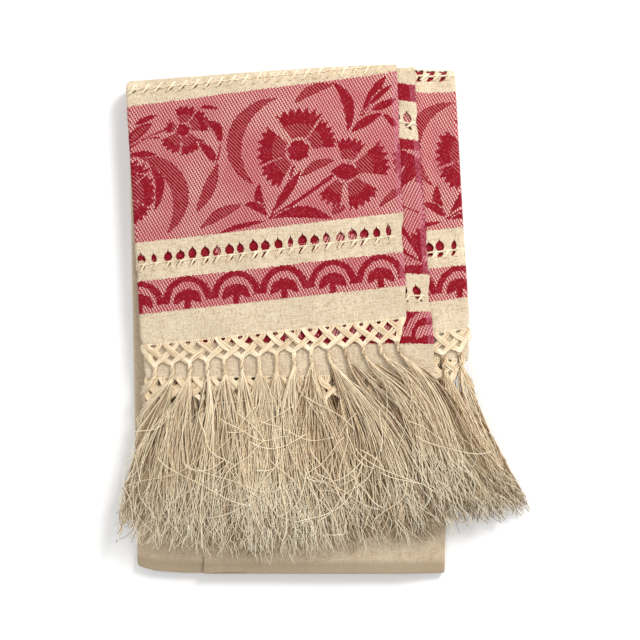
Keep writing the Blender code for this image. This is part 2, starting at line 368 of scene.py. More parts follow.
def line(foot, tip):
    """Its middle, its length, and what tells how far along it and to its left a point is."""
    span = math.dist(foot, tip)
    ahead = (tip[0] - foot[0]) / span, (tip[1] - foot[1]) / span

    def place(x, y):
        right, up = x - foot[0], y - foot[1]
        return (right * ahead[0] + up * ahead[1]) / span, up * ahead[0] - right * ahead[1]
    return (foot[0] + tip[0]) / 2, span, place


def leaf(foot, tip, width, bow=0.0, lined=None):
    """A lance leaf from foot to tip, bowed to its left."""
    middle, span, place = line(foot, tip)

    def distance(x, y):
        t, left = place(x, y)
        bulge = 4 * t * (1 - t)
        return np.abs(left - bow * bulge) - width / 2 * bulge
    return shape(middle, distance, inset(lined))


def stem(foot, tip, width, bow=0.0):
    """A thin line of even width."""
    middle, span, place = line(foot, tip)

    def distance(x, y):
        t, left = place(x, y)
        beside = np.abs(left - bow * 4 * t * (1 - t))
        return np.maximum(beside - width / 2, np.maximum(-t, t - 1) * span)
    return shape(middle, distance)


def crescent(middle, outer, inner, shift, toward, lined=None):
    """Inside one circle and outside another one moved toward an angle in degrees."""
    way = math.radians(toward)
    hollow = middle[0] + shift * math.cos(way), middle[1] + shift * math.sin(way)

    def distance(x, y):
        return np.maximum(np.hypot(x - middle[0], y - middle[1]) - outer,
                          inner - np.hypot(x - hollow[0], y - hollow[1]))
    return shape(middle[0], distance, inset(lined))


print("at a leaf's middle:", leaf((0, 0), (10, 0), 4.0)["distance"](5.0, 0.0), "mm")

# %% Carnations
def toothed(heart, way, spread, start, reach, teeth, tooth, hatched_to=None):
    """A fan with a toothed rim, from start to reach, spread either side of way in degrees and
    hatched out to a radius."""
    def distance(x, y):
        right, up = x - heart[0], y - heart[1]
        turned = np.arctan2(up, right) - math.radians(way)
        turned = (turned + math.pi) % (2 * math.pi) - math.pi
        part = turned / math.radians(spread)
        valley = 1 - np.abs(((part + 1) / 2 * (teeth - 1)) % 1.0 - 0.5) * 2
        far = np.hypot(right, up)
        side = (np.abs(turned) - math.radians(spread)) * far * 0.9
        return np.maximum(np.maximum(far - reach + tooth * valley, start - far), side)

    def hatch(x, y, away):
        return np.hypot(x - heart[0], y - heart[1]) - hatched_to
    return shape(heart[0], distance, hatch if hatched_to else None)


def carnation(heart, size, petals):
    """A toothed core and the toothed petals round it, hatched near the core. petals: each
    one's way and half spread in degrees, reach in sizes and number of teeth."""
    made = [toothed(heart, way, spread, 0.31 * size, reach * size, teeth, 0.15 * size, 0.62 * reach * size)
            for way, spread, reach, teeth in petals]
    return made + [toothed(heart, 90, 180, 0.0, 0.27 * size, 8, 0.05 * size)]

# %% The flower band's repeat
REPEAT = 182.0
LINE_GAP = 0.75
FLOWER_BAND = (
    # the great crescent
    crescent((85.7, 51.0), 26.9, 31.4, 13.8, -18, lined=0.3),
    # the arch at the top right, and its spray of leaves
    leaf((100.5, 72.3), (126, 81.5), 6.0, 3.2, lined=0.5),
    leaf((124.5, 84), (132, 51), 6.8, 5.6),
    stem((133.5, 51), (144, 66), 1.0),
    leaf((142, 62.5), (157.5, 83), 6.0, 0.6),
    stem((133.5, 51), (149, 69), 0.8),
    leaf((146, 66), (161, 77), 3.8, 0.5),
    stem((133.5, 51), (150, 64.5), 0.8, 0.6),
    leaf((147, 63.5), (163, 68), 5.0, -0.6),
    leaf((134, 51), (154.5, 60.5), 5.6, 1.2),
    leaf((154, 60.5), (162, 50), 3.6, 0.8),
    # stems and lance leaves from the root
    stem((82, 5.5), (99, 36), 1.4, -1.6),
    stem((82, 5.5), (124, 28), 2.3, -0.6),
    leaf((81, 8), (77.5, 28), 5.6, 3.0),
    leaf((84, 9), (103, 32.5), 5.6, -0.4),
    leaf((102, 28), (124, 35.5), 5.6, 2.4, lined=0.5),
    leaf((81, 6.5), (66, 16.5), 4.8, -2.4),
    leaf((67, 16), (40, 4), 6.2, -2.0, lined=0.5),
    leaf((80, 4.5), (49, -0.5), 3.2, -1.0),
    leaf((84, 5.5), (121, 0), 7.0, 4.4),
    leaf((119.5, 3.5), (129, 7.5), 4.8, 0.8, lined=0.6),
    # the two carnations
    *carnation((102, 44.2), 26.0, ((86, 33, 1.02, 7), (166, 28, 1.0, 6),
                                   (218, 20, 1.02, 5), (24, 25, 0.95, 6))),
    *carnation((129.8, 28.3), 23.5, ((76, 27, 0.9, 6), (12, 24, 1.17, 6),
                                     (-61, 26, 1.06, 6), (236, 21, 0.97, 5))),
    leaf((121, 29.5), (138.5, 26.5), 9.5),
    # the side carnation at the fold, two crescents round it
    *carnation((-5, 30), 19.0, ((2, 34, 1.05, 6), (66, 26, 1.2, 5), (-58, 25, 1.05, 5), (180, 50, 1.0, 7))),
    crescent((-3.7, 35), 23.8, 41.0, 23.1, 190),
    crescent((8.8, 26.7), 25.5, 32.5, 17.3, 196, lined=0.3),
    # the small flower at the top left and its sprays
    stem((-2, 57), (27, 68), 1.0, 1.4),
    stem((12, 63), (27, 60.5), 1.0, 0.6),
    leaf((-2, 60), (15, 72), 6.4, 1.2, lined=1.4),
    leaf((3, 72), (18, 76.5), 3.4, 0.6),
    leaf((-1, 54), (17, 52.5), 4.0, 0.6),
    leaf((1, 47), (8, 42), 4.6, 0.6),
    leaf((43, 78.5), (56, 75.5), 2.4, 0.4),
    *carnation((33, 65.5), 15.5, ((78, 29, 1.0, 5), (19, 29, 1.08, 5), (-65, 31, 1.05, 6),
                                  (-132, 30, 1.0, 5), (160, 24, 0.75, 4))),
    # the hanging branch of leaves
    leaf((46.5, 70), (55, 54), 5.8, 3.4),
    leaf((41.5, 57), (52.5, 41.5), 5.4, 1.2),
    stem((55, 54), (51.5, 42), 0.9, 0.6),
    leaf((53, 43), (38, 14), 7.4, 1.4, lined=0.5),
    # what fills the far side of the repeat
    leaf((149, 4.5), (166, 14), 4.6, 1.6, lined=0.6),
)


def draw(shapes, x, y, repeat, gap=LINE_GAP):
    """The figures' distance, and how deep in their hatched parts a point is."""
    figure = np.full(x.shape, FAR_OFF)
    lines = np.full(x.shape, FAR_OFF)
    for one in shapes:
        wrapped = (x - one["middle"] + repeat / 2) % repeat + one["middle"] - repeat / 2
        away = one["distance"](wrapped, y)
        figure = np.minimum(np.maximum(figure, gap - away), away)
        depth = one["hatch"](wrapped, y, away) if one["hatch"] else FAR_OFF
        lines = np.where(away < gap, depth, lines)
    return figure, lines

# %% The arch band's repeat
ARCH_PITCH = 29.4
ARCH_HALF, ARCH_HEIGHT, ARCH_FOOT, ARCH_WIDTH = 12.9, 14.0, 3.6, 3.0


def arch_distance(x, y):
    """A ring that springs steeply at its feet and is round at its top."""
    beside = np.abs(x) / ARCH_HALF
    up = (y - ARCH_FOOT) / ARCH_HEIGHT
    far = (beside ** 1.7 + np.maximum(up, 0) ** 2.2) ** (1 / 1.9)
    return np.maximum(np.abs(far - 1) * (ARCH_HALF * 0.8) - ARCH_WIDTH / 2, ARCH_FOOT - y)


ARCH_BAND = (
    shape(0, arch_distance),
    toothed((0, 4.6), 90, 84, 0.0, 7.2, 6, 0.9),
    leaf((-2.0, 8.8), (8.4, 2.2), 6.0, 1.9),
    leaf((2.0, 8.8), (-8.4, 2.2), 6.0, -1.9),
    stem((0, -0.6), (0, 6), 4.0),
)
print("flower shapes:", len(FLOWER_BAND), "arch shapes:", len(ARCH_BAND))

# %% Figures at a point of the cloth
# where each repeat starts on the top end (1) and on the under end (-1)
PATTERN_SHIFT = {1: 0.0, -1: 73.5}
ARCH_SHIFT = {1: 0.4, -1: -4.1}
ARCH_SQUEEZE = {1: 1.0, -1: 1.033}   # the under end is woven a little narrower
ARCH_RISE = 0.8


def pattern_at(end, across, inward):
    """Right, figure and hatch distances, for points of one end's half."""
    side = end["side"]
    right = -side * across
    figure, lines = draw(FLOWER_BAND, right + PATTERN_SHIFT[side], inward - FLOWERS[0], REPEAT)
    beside = right * ARCH_SQUEEZE[side] - ARCH_SHIFT[side]
    arch = draw(ARCH_BAND, beside, inward - ARCHES[0] - ARCH_RISE, ARCH_PITCH, -FAR_OFF)[0]
    low = inward < (ARCHES[1] + FLOWERS[0]) / 2
    figure = np.where(low, arch, np.where(inward > FLOWERS[1] + 2, FAR_OFF, figure))
    return right, np.clip(figure, -FAR_OFF, FAR_OFF), np.where(low, FAR_OFF, lines)

# %% [markdown]
# ## Cutting the cloth
#
# The sheet is first laid out flat, on a chart of `across` and of rows counted from one end to
# the other. Points are dense where something shows, such as a figure's edge or a bend, and
# wide apart elsewhere. A Delaunay cut joins them into triangles and leaves the holes open.
# The same outline is cut for the face and for the reverse, and walls join the two, so the
# result is one closed sheet. Solidify would do this too, but it gives both sides the same
# points, and most of the dense ones would be hidden.

# %% The chart's rows
PATTERN_ROWS = 200.0                # rows up to here are distances in from the edge
FINE = 0.85                         # between points where a figure shows
TURN_STEP = 1.15                    # between rows where the cloth turns over
HOLE_STEP = 1.9


def along_of_row(across, row):
    """The along value of a chart's point. Rows run from the top end to the under end."""
    value = np.zeros(np.broadcast(across, row).shape)
    for end in (TOP_END, UNDER_END):
        own = row if end["side"] > 0 else 2 * HALF_ROWS - row
        rest = (HALF_ROWS - own) / (HALF_ROWS - PATTERN_ROWS)
        body = along_in(end, across, PATTERN_ROWS) * rest
        mine = np.where(own < PATTERN_ROWS, along_in(end, across, own), body)
        value = np.where((row <= HALF_ROWS) == (end["side"] > 0), mine, value)
    return value


def steps(start, stop, step):
    """Evenly spaced values from start to stop, both included."""
    return list(np.linspace(start, stop, max(2, round((stop - start) / step) + 1)))


def half_rows():
    """The rows of one half, from its edge to the crest of the half fold."""
    rows = steps(0, ARCHES[0] - 1, 4.5) + steps(*ARCHES, FINE) + steps(46, 59.5, HOLE_STEP * 0.8)
    rows += steps(*FLOWERS, FINE) + steps(FLOWERS[1] + 1, PATTERN_ROWS, TURN_STEP)
    rows += steps(215, HALF_ROWS - 22, 28)
    return rows + [HALF_ROWS - reach for reach in (12, 7, 4, 2.6, 2.0, 1.5, 1.0, 0.5)]


ROWS = half_rows()
ROWS = np.array(ROWS + [HALF_ROWS] + [2 * HALF_ROWS - row for row in reversed(ROWS)])
print("rows on the chart:", len(ROWS))

# %% The selvedges, drawn in a little beside the openwork
WAIST, WAIST_REACH = 1.3, 6.0


def selvedge_at(row, other):
    """The across value of a selvedge in a row: the third panel's, or the other one. It depends
    a little on along, which depends on it, so it is found by trying again from a first guess."""
    across = np.full(np.shape(row), 340.0 if other else -160.0)
    for attempt in range(4):
        along = along_of_row(across, row)
        across = selvedge(along) + (CLOTH_WIDTH if other else 0)
    own = np.minimum(row, 2 * HALF_ROWS - row)
    waist = sum(WAIST * np.exp(-((own - thread) / WAIST_REACH) ** 2) for thread in TIED_THREADS)
    uneven = 0.25 * np.sin(own / 5.3) + 0.2 * np.sin(own / 2.1 + 1)
    return across + (waist + uneven) * (-1 if other else 1)


FIRST_EDGE = selvedge_at(ROWS, False)
OTHER_EDGE = selvedge_at(ROWS, True)
print("flat width in mid openwork:", round(float((OTHER_EDGE - FIRST_EDGE).min()), 1), "mm")

# %% The chart's columns: close at the two panel folds, wide apart between them
BEND_STEP = 0.6
LEFT_BEND = steps(-QUARTER, QUARTER, BEND_STEP)
RIGHT_BEND = steps(QUARTER + PANEL_RUN, 3 * QUARTER + PANEL_RUN, BEND_STEP)
COLUMNS = np.array(steps(-150, -8, 14) + LEFT_BEND + RIGHT_BEND + steps(12, 182, 17) + steps(206, 330, 20))
EDGE_GAP = 0.4                      # from a selvedge to the first point beside it
HOLE_GAP = 0.35                     # from a hole to the nearest point


def fine_blocks(face):
    """Where the chart is dense, as first and last row and first and last across value: the
    figures of the third panel and of the strip of the second one that shows, on the face, and
    those beside the third panel's selvedge, on the reverse."""
    third_right = -QUARTER - 0.8
    third, second = (-165.0, third_right), (158.0, PANEL_RUN + QUARTER - 1)
    last = 2 * HALF_ROWS
    arches, flowers = [(last - band[1], last - band[0]) for band in (ARCHES, FLOWERS)]
    if face:
        return [(*ARCHES, *third), (*FLOWERS, *third), (*arches, *second), (*flowers, *second)]
    return [(*arches, -172.0, third_right), (*flowers, -172.0, -146.0)]

# %% Points between the edges, clear of the holes
def openwork_rows(row):
    """Whether a row passes through openwork."""
    own = min(row, 2 * HALF_ROWS - row)
    return any(low < own < high for low, high in OPENWORK)


def inside(points, outline, margin):
    """Which points lie within an outline or nearer to it than the margin."""
    near = np.all(np.abs(points - outline.mean(axis=0)) < 9, axis=1)
    hit = np.zeros(len(points), bool)
    some = points[near]
    within = np.zeros(len(some), bool)
    gap = np.full(len(some), 99.0)
    for a, b in zip(outline, np.roll(outline, -1, axis=0)):
        side = b - a
        t = np.clip(((some - a) @ side) / (side @ side), 0, 1)
        gap = np.minimum(gap, np.linalg.norm(some - a - t[:, None] * side, axis=1))
        crosses = (a[1] > some[:, 1]) != (b[1] > some[:, 1])
        level = np.where(crosses, some[:, 1] - a[1], 0) / (b[1] - a[1] if b[1] != a[1] else 1)
        within ^= crosses & (some[:, 0] < a[0] + level * side[0])
    hit[near] = within | (gap < margin)
    return hit


def inner_points(face, holes):
    """The chart's points between the edges, clear of the holes."""
    found = []
    for row, first, other in zip(ROWS[1:-1], FIRST_EDGE[1:-1], OTHER_EDGE[1:-1]):
        columns = COLUMNS
        for low, high, left, right in fine_blocks(face):
            if low - 0.01 <= row <= high + 0.01:
                kept = columns[(columns < left) | (columns > right)]
                columns = np.concatenate((kept, steps(left, right, FINE)))
        if openwork_rows(row):
            kept = columns[(columns < -168) | (columns > PANEL_RUN - 4)]
            more = steps(-166, -QUARTER - 1, HOLE_STEP) + steps(QUARTER + 1, PANEL_RUN - 5, HOLE_STEP)
            columns = np.concatenate((kept, LEFT_BEND, more))
        columns = columns[(columns > first + EDGE_GAP) & (columns < other - EDGE_GAP)]
        found.append(np.stack((columns, np.full(len(columns), row)), axis=1))
    points = np.unique(np.concatenate(found).round(4), axis=0)
    blocked = np.zeros(len(points), bool)
    for outline in holes:
        blocked |= inside(points, outline, HOLE_GAP)
    return points[~blocked]

# %% Cut both sides and join them at every edge
def cut_side(points, outline, holes):
    """Triangles between all the points, without what lies outside or in a hole."""
    rings = [outline] + holes
    every = np.concatenate(rings + [points])
    faces, start = [], 0
    for ring in rings:
        faces.append(list(range(start, start + len(ring))))
        start += len(ring)
    made = delaunay_2d_cdt([Vector(p) for p in every.tolist()], [], faces, 0, 1e-5, True)
    assert len(made[0]) == len(every), "the outline crosses itself"
    number = [origin[0] for origin in made[3]]
    triangles = [[number[k] for k in tri] for tri, ring in zip(made[2], made[5]) if ring == [0]]
    return every, np.array(triangles)


def cut_cloth():
    """Across, row and side of every corner, and the triangles of the closed sheet."""
    last = 2 * HALF_ROWS
    holes = holes_of(TOP_END, 11)
    holes += [ring * (1, -1) + (0, last) for ring in holes_of(UNDER_END, 12)]
    ends = np.array(steps(-150, 330, 4.0))
    outline = np.concatenate((
        np.stack((FIRST_EDGE[::-1], ROWS[::-1]), axis=1),
        np.stack((ends, np.full(len(ends), ROWS[0])), axis=1),
        np.stack((OTHER_EDGE, ROWS), axis=1),
        np.stack((ends[::-1], np.full(len(ends), ROWS[-1])), axis=1)))
    front, front_triangles = cut_side(inner_points(True, holes), outline, holes)
    back, back_triangles = cut_side(inner_points(False, holes), outline, holes)
    lower, start = len(front), 0
    triangles = [front_triangles, back_triangles[:, ::-1] + lower]
    for ring in [outline] + holes:
        here = np.arange(start, start + len(ring))
        then = np.roll(here, -1)
        triangles.append(np.stack((here, then, then + lower), axis=1))
        triangles.append(np.stack((here, then + lower, here + lower), axis=1))
        start += len(ring)
    sides = np.repeat((1.0, -1.0), (len(front), len(back)))
    chart = np.column_stack((np.concatenate((front, back)), sides))
    return chart, np.concatenate(triangles), len(holes)


CHART, CLOTH_TRIANGLES, HOLE_COUNT = cut_cloth()
print("cloth:", len(CLOTH_TRIANGLES), "triangles,", HOLE_COUNT, "holes")

# %% Fold the cut sheet and give it what its finish needs
def new_piece(name, points, faces, **values):
    """A mesh object from points in millimetres on the folded runner, with named values."""
    mesh = bpy.data.meshes.new(name)
    mesh.from_pydata(in_metres(points).tolist(), [], faces)
    for key, value in values.items():
        value = np.asarray(value, float)
        kind = "FLOAT" if value.ndim == 1 else "FLOAT_VECTOR"
        layer = mesh.attributes.new(key, kind, "POINT")
        layer.data.foreach_set("value" if value.ndim == 1 else "vector", value.ravel())
    piece = bpy.data.objects.new(name, mesh)
    bpy.context.scene.collection.objects.link(piece)
    return piece


def turn_outwards(piece):
    """Makes every face of a closed mesh point outwards."""
    bpy.ops.object.select_all(action="DESELECT")
    bpy.context.view_layer.objects.active = piece
    piece.select_set(True)
    bpy.ops.object.mode_set(mode="EDIT")
    bpy.ops.mesh.select_all(action="SELECT")
    bpy.ops.mesh.normals_make_consistent(inside=False)
    bpy.ops.object.mode_set(mode="OBJECT")


def make_cloth():
    """The whole folded cloth with its bands, figures and openwork."""
    across, row, face = CHART.T
    along = along_of_row(across, row)
    points = fold(across, along, face * CLOTH_THICKNESS / 2)
    thread = np.zeros((len(across), 3))
    figure = np.full(len(across), FAR_OFF)
    lines = np.full(len(across), FAR_OFF)
    for end in (TOP_END, UNDER_END):
        mine = (row <= HALF_ROWS) == (end["side"] > 0)
        inward = inward_of(end, across[mine], along[mine])
        right, figure[mine], lines[mine] = pattern_at(end, across[mine], inward)
        thread[mine] = np.stack((right, inward, face[mine]), axis=1)
    edge = np.minimum(across - selvedge(along), selvedge(along) + CLOTH_WIDTH - across)
    cloth = new_piece("damask_cloth", points, CLOTH_TRIANGLES.tolist(),
                      thread=thread, figure=figure, lines=lines, edge=edge, crease=np.abs(along))
    turn_outwards(cloth)
    bpy.ops.object.shade_smooth_by_angle(angle=math.radians(40))
    return cloth


cloth = make_cloth()
print("cloth made:", len(cloth.data.polygons), "faces")

# %% [markdown]
# ## The damask's finish
#
# Damask is one weave and its reverse, side by side. In the figures the red weft floats over
# the warp, so they are nearly solid red. In the ground cream warps show at two crossings of
# every five, in slanting steps, so from a little way off it looks pink. On the reverse of the
# cloth the two change places. A printed pattern could be laid on, but close up it would blur.
# So the finish counts threads: it divides the distances on the flat cloth by the thread
# pitch and asks for each crossing which thread lies on top.

# %% A short way to write shader maths
class Finish:
    """A material under construction: each call adds a node and returns its output."""

    def __init__(self, name, roughness, sheen, gloss):
        self.material = bpy.data.materials.new(name)
        self.material.use_nodes = True
        self.tree = self.material.node_tree
        self.shader = self.tree.nodes["Principled BSDF"]
        self.shader.inputs["Roughness"].default_value = roughness
        self.shader.inputs["Sheen Weight"].default_value = sheen
        self.shader.inputs["Specular IOR Level"].default_value = gloss

    def put(self, value, socket):
        """Links what a node gives to a socket, or sets the socket to a plain value."""
        if isinstance(value, bpy.types.NodeSocket):
            self.tree.links.new(value, socket)
        else:
            socket.default_value = value

    def node(self, kind, *parts, **settings):
        """A new node with its settings, and its inputs filled in order."""
        node = self.tree.nodes.new("ShaderNode" + kind)
        for name, setting in settings.items():
            setattr(node, name, setting)
        for part, socket in zip(parts, node.inputs):
            self.put(part, socket)
        return node

    def value(self, name):
        return self.node("Attribute", attribute_name=name).outputs["Fac"]

    def parts(self, name):
        vector = self.node("Attribute", attribute_name=name).outputs["Vector"]
        return tuple(self.node("SeparateXYZ", vector).outputs)

    def place(self):
        return self.node("TexCoord").outputs["Object"]

    def vector(self, x, y):
        return self.node("CombineXYZ", x, y).outputs[0]

    def maths(self, operation, a, b=0.0):
        return self.node("Math", a, b, operation=operation).outputs[0]

    def total(self, *values):
        made = values[0]
        for other in values[1:]:
            made = self.maths("ADD", made, other)
        return made

    def times(self, a, b):
        return self.maths("MULTIPLY", a, b)

    def below(self, a, b):
        """1 where a is less than b."""
        return self.maths("LESS_THAN", a, b)

    def between(self, value, low, high):
        """1 where value lies from low to high."""
        return self.times(self.maths("GREATER_THAN", value, low), self.below(value, high))

    def noise(self, place, scale, detail=2.0, roughness=0.5):
        node = self.node("TexNoise")
        values = {"Vector": place, "Scale": scale, "Detail": detail, "Roughness": roughness}
        for name, value in values.items():
            self.put(value, node.inputs[name])
        return node.outputs["Fac"]

    def speck(self, place):
        """A random value for each whole-numbered place."""
        return self.node("TexWhiteNoise", place).outputs["Value"]

    def blend(self, part, a, b):
        """From colour a, where part is 0, to colour b, where it is 1."""
        node = self.node("Mix", data_type="RGBA")
        for name, value in (("Factor", part), ("A", a), ("B", b)):
            self.put(value, node.inputs[name])
        return node.outputs["Result"]

    def spread(self, value, low, high, to_low=0.0, to_high=1.0):
        """Carries low to high over to to_low to to_high, and stops there."""
        return self.node("MapRange", value, low, high, to_low, to_high).outputs[0]

    def bump(self, height, distance, strength):
        node = self.node("Bump")
        node.inputs["Strength"].default_value = strength
        node.inputs["Distance"].default_value = distance
        self.put(height, node.inputs["Height"])
        self.put(node.outputs[0], self.shader.inputs["Normal"])

# %% The cloth's colours and threads
LINEN_CREAM = (0.77, 0.65, 0.475, 1.0)
LINEN_SHADE = (0.40, 0.275, 0.155, 1.0)
LINEN_TAN = (0.47, 0.37, 0.26, 1.0)
# the next colour is painted shade, for the side of the half fold that faces away from the light
CREASE_PAINTED_SHADE = (0.34, 0.27, 0.185, 1.0)
CRIMSON = (0.275, 0.005, 0.015, 1.0)
DEEP_CRIMSON = (0.21, 0.003, 0.011, 1.0)
FADED_RED = (0.37, 0.05, 0.075, 1.0)
PINK_CREAM = (0.63, 0.30, 0.285, 1.0)
PALE_PINK = (0.74, 0.52, 0.44, 1.0)
ROSE = (0.55, 0.17, 0.24, 1.0)
THREAD_PITCH = 0.74
HATCH_PITCH, HATCH_SHARE = 2.0, 0.12    # from one hatching line to the next, and how much is light
SELVEDGE_STRIP = 3.6                    # how wide the selvedge is woven rosy
PAINTED_SHADE_FROM, PAINTED_SHADE_TO = 190.0, 250.0     # the plain middle of the cloth is darkened from here: painted shade
CREASE, CREASE_FADES = 5.5, 8.5             # and the crease of the half fold is darkened too: painted shade

# %% The cloth's finish


def damask_finish():
    """Red figured bands on cream linen, thread by thread."""
    made = Finish("damask_linen", roughness=0.82, sheen=0.05, gloss=0.12)
    right, inward, face = made.parts("thread")
    warp = made.maths("FLOOR", made.times(right, 1 / THREAD_PITCH))
    weft = made.maths("FLOOR", made.times(inward, 1 / THREAD_PITCH))
    crossing = made.speck(made.vector(warp, weft))
    turn_of_five = made.maths("FRACT", made.times(made.total(made.times(warp, 2.0), weft), 0.2))
    wide = made.noise(made.vector(right, inward), 0.035, 3.0)
    near = made.noise(made.vector(right, inward), 0.35, 2.0)

    # bands, their edges stepping by a thread here and there
    step = made.times(made.maths("SUBTRACT", crossing, 0.5), 0.9)
    level = made.total(inward, step)
    bands = made.total(made.between(level, *ARCHES), made.between(level, *FLOWERS),
                       made.between(level, *RED_LINE))
    away = made.total(made.value("figure"), made.times(step, 0.8))
    figure = made.times(made.below(away, 0.0), bands)
    front = made.maths("GREATER_THAN", face, 0.0)
    swap = made.maths("ABSOLUTE", made.maths("SUBTRACT", figure, made.maths("SUBTRACT", 1.0, front)))
    solid = made.times(swap, bands)

    # the hatched parts: slanting lines of ground weave inside a figure
    slant = made.maths("FRACT", made.times(made.total(right, made.times(inward, 0.8)), 1 / HATCH_PITCH))
    hatched = made.times(made.below(slant, HATCH_SHARE), made.below(made.value("lines"), 0.0))

    # which thread is on top
    cream_in_ground = made.below(turn_of_five, 0.3)
    light_in_solid = made.times(made.below(turn_of_five, 0.1), made.below(crossing, 0.4))
    pale = made.blend(made.spread(wide, 0.38, 0.68), PINK_CREAM, PALE_PINK)
    dots = made.blend(made.spread(near, 0.25, 0.75, 0.3, 1.0), CRIMSON, FADED_RED)
    ground = made.blend(cream_in_ground, dots, pale)
    red = made.blend(crossing, DEEP_CRIMSON, CRIMSON)
    red = made.blend(light_in_solid, red, FADED_RED)
    red = made.blend(hatched, red, PINK_CREAM)
    woven = made.blend(solid, ground, red)
    selvedge_strip = made.below(made.total(made.value("edge"), step), SELVEDGE_STRIP)
    woven = made.blend(made.times(selvedge_strip, made.times(crossing, 0.6)), woven, ROSE)

    # plain linen with slubs along its threads and dark flecks, then painted shade: a darker middle and a
    # darker crease
    weft_slub = made.noise(made.vector(made.times(right, 0.12), made.times(inward, 1.5)), 1.0, 2.0, 0.6)
    warp_slub = made.noise(made.vector(made.times(right, 1.5), made.times(inward, 0.12)), 1.0, 2.0, 0.6)
    grain = made.total(made.times(weft_slub, 0.38), made.times(warp_slub, 0.34),
                       made.times(crossing, 0.14), made.times(near, 0.14))
    linen = made.blend(made.spread(wide, 0.35, 0.75, 0.0, 0.5), LINEN_CREAM, LINEN_TAN)
    # painted shade: the plain middle is darkened towards tan for the fringe's shadow and the light's
    # falloff
    linen = made.blend(made.spread(inward, PAINTED_SHADE_FROM, PAINTED_SHADE_TO, 0.0, 0.5), linen, LINEN_TAN)
    # painted shade: the crease of the half fold is darkened where the fold turns away from the light
    crease_shade = made.spread(made.value("crease"), CREASE, CREASE_FADES, 0.75, 0.0)
    linen = made.blend(crease_shade, linen, CREASE_PAINTED_SHADE)
    linen = made.blend(made.spread(grain, 0.30, 0.54), LINEN_SHADE, linen)
    fleck = made.spread(made.noise(made.vector(right, inward), 0.8, 1.0), 0.27, 0.31, 0.4, 0.0)
    linen = made.blend(fleck, linen, LINEN_SHADE)
    colour = made.blend(bands, linen, woven)
    made.put(colour, made.shader.inputs["Base Color"])

    # relief: threads over and under, slubs and a soft unevenness
    over = made.maths("SINE", made.times(right, math.pi / THREAD_PITCH))
    under = made.maths("SINE", made.times(inward, math.pi / THREAD_PITCH))
    height = made.total(made.times(made.times(over, under), 0.35), made.times(grain, 1.6),
                        made.times(near, 0.6))
    made.bump(height, 0.00035, 0.8)
    return made.material


cloth.data.materials.append(damask_finish())
print("cloth finish:", len(cloth.data.materials[0].node_tree.nodes), "nodes")

# %% [markdown]
# ## The knotted fringe
#
# The fringe is the cloth's own warp. At the edge the bare warps are gathered into bundles.
# Each bundle parts in two, the halves cross those of its neighbours like lattice, and where
# two halves meet they are knotted into the neck of a tassel. Every yarn here is a thin closed
# tube on a path. Paths are worked out on the flat runner and folded like the cloth, so the
# fringe hangs from its edge on every panel.

# %% Tubes along paths
def tubes(name, paths, radius, sides, **values):
    """One mesh of closed tubes along paths, an array of tubes, points and x, y, z. The values
    are one for each tube, and run counts from 0 to 1 along it."""
    count, points = paths.shape[:2]
    ahead = np.gradient(paths, axis=1)
    ahead /= np.linalg.norm(ahead, axis=2, keepdims=True) + 1e-9
    beside = np.cross(ahead, (0.0, 0.0, 1.0)) + (1e-6, 0, 0)
    beside /= np.linalg.norm(beside, axis=2, keepdims=True)
    above = np.cross(beside, ahead)
    angle = np.arange(sides)[:, None] * 2 * math.pi / sides
    ring = np.cos(angle) * beside[:, :, None] + np.sin(angle) * above[:, :, None]
    corners = paths[:, :, None] + np.broadcast_to(radius, (count, points))[:, :, None, None] * ring
    number = np.arange(count * points * sides).reshape(count, points, sides)
    after = np.roll(number, -1, axis=2)
    walls = np.stack((number[:, :-1], number[:, 1:], after[:, 1:], after[:, :-1]), axis=-1)
    faces = walls.reshape(-1, 4).tolist() + number[:, 0].tolist() + number[:, -1, ::-1].tolist()
    spread = {key: np.repeat(np.asarray(value, float), points * sides) for key, value in values.items()}
    run = np.broadcast_to(np.linspace(0, 1, points)[None, :, None], number.shape).ravel()
    piece = new_piece(name, corners.reshape(-1, 3), faces, run=run, **spread)
    piece.data.shade_smooth()
    return piece


def through(points, count):
    """A smooth way through control points, the last but one axis of an array."""
    padded = np.concatenate((2 * points[..., :1, :] - points[..., 1:2, :], points,
                             2 * points[..., -1:, :] - points[..., -2:-1, :]), axis=-2)
    spans = points.shape[-2] - 1
    at = np.linspace(0, spans, count)
    first = np.minimum(at.astype(int), spans - 1)
    t = (at - first)[:, None]
    a, b, c, d = (padded[..., first + k, :] for k in range(4))
    curve = (2 * a - 5 * b + 4 * c - d) * t ** 2 + (3 * b - a - 3 * c + d) * t ** 3
    return 0.5 * (2 * b + (c - a) * t + curve)

# %% Places on one panel
def upwards(end, panel):
    """1 where this end's face is up on the panel, and -1 where its reverse is."""
    return end["side"] * (1 if panel != 2 else -1)


def on_panel(end, panel, place, level, lift):
    """Points on one panel of one end's flap, lifted off the middle of its layer."""
    across = across_at(panel, place)
    along = along_at(end["side"], up_on_flap(np.clip(place, 0, FOLDED_WIDTH), level))
    return fold(across, along, lift * upwards(end, panel))


def on_cloth(end, panel, place, inward, lift):
    """The same, but measured in from the cloth's edge."""
    across = across_at(panel, place)
    return fold(across, along_in(end, across, inward), lift * upwards(end, panel))

# %% Where the tassels hang
TASSEL_PITCH = 10.55
SELVEDGE_MARGIN = 2.5
TOP_END["first_tassel"], UNDER_END["first_tassel"] = 8.0, 3.95


def tassel_numbers(end, panel):
    """The tassels of one panel, inside its selvedge."""
    edge = selvedge(along_at(end["side"], up_on_flap(THIRD_PANEL, FAN_START)))
    middles = np.arange(end["first_tassel"], FOLDED_WIDTH - 6, TASSEL_PITCH)
    across = across_at(panel, middles)
    low, high = edge + SELVEDGE_MARGIN, edge + CLOTH_WIDTH - SELVEDGE_MARGIN
    return [number for number in range(len(middles)) if low < across[number] < high]


print("tassels on the top end's third panel:", len(tassel_numbers(TOP_END, 3)))


def edge_level(end, panel, place):
    """The level of the cloth's edge at a place on a panel."""
    return end_level(end, across_at(panel, place))

# %% The lattice
NECK_DROP = 13.0
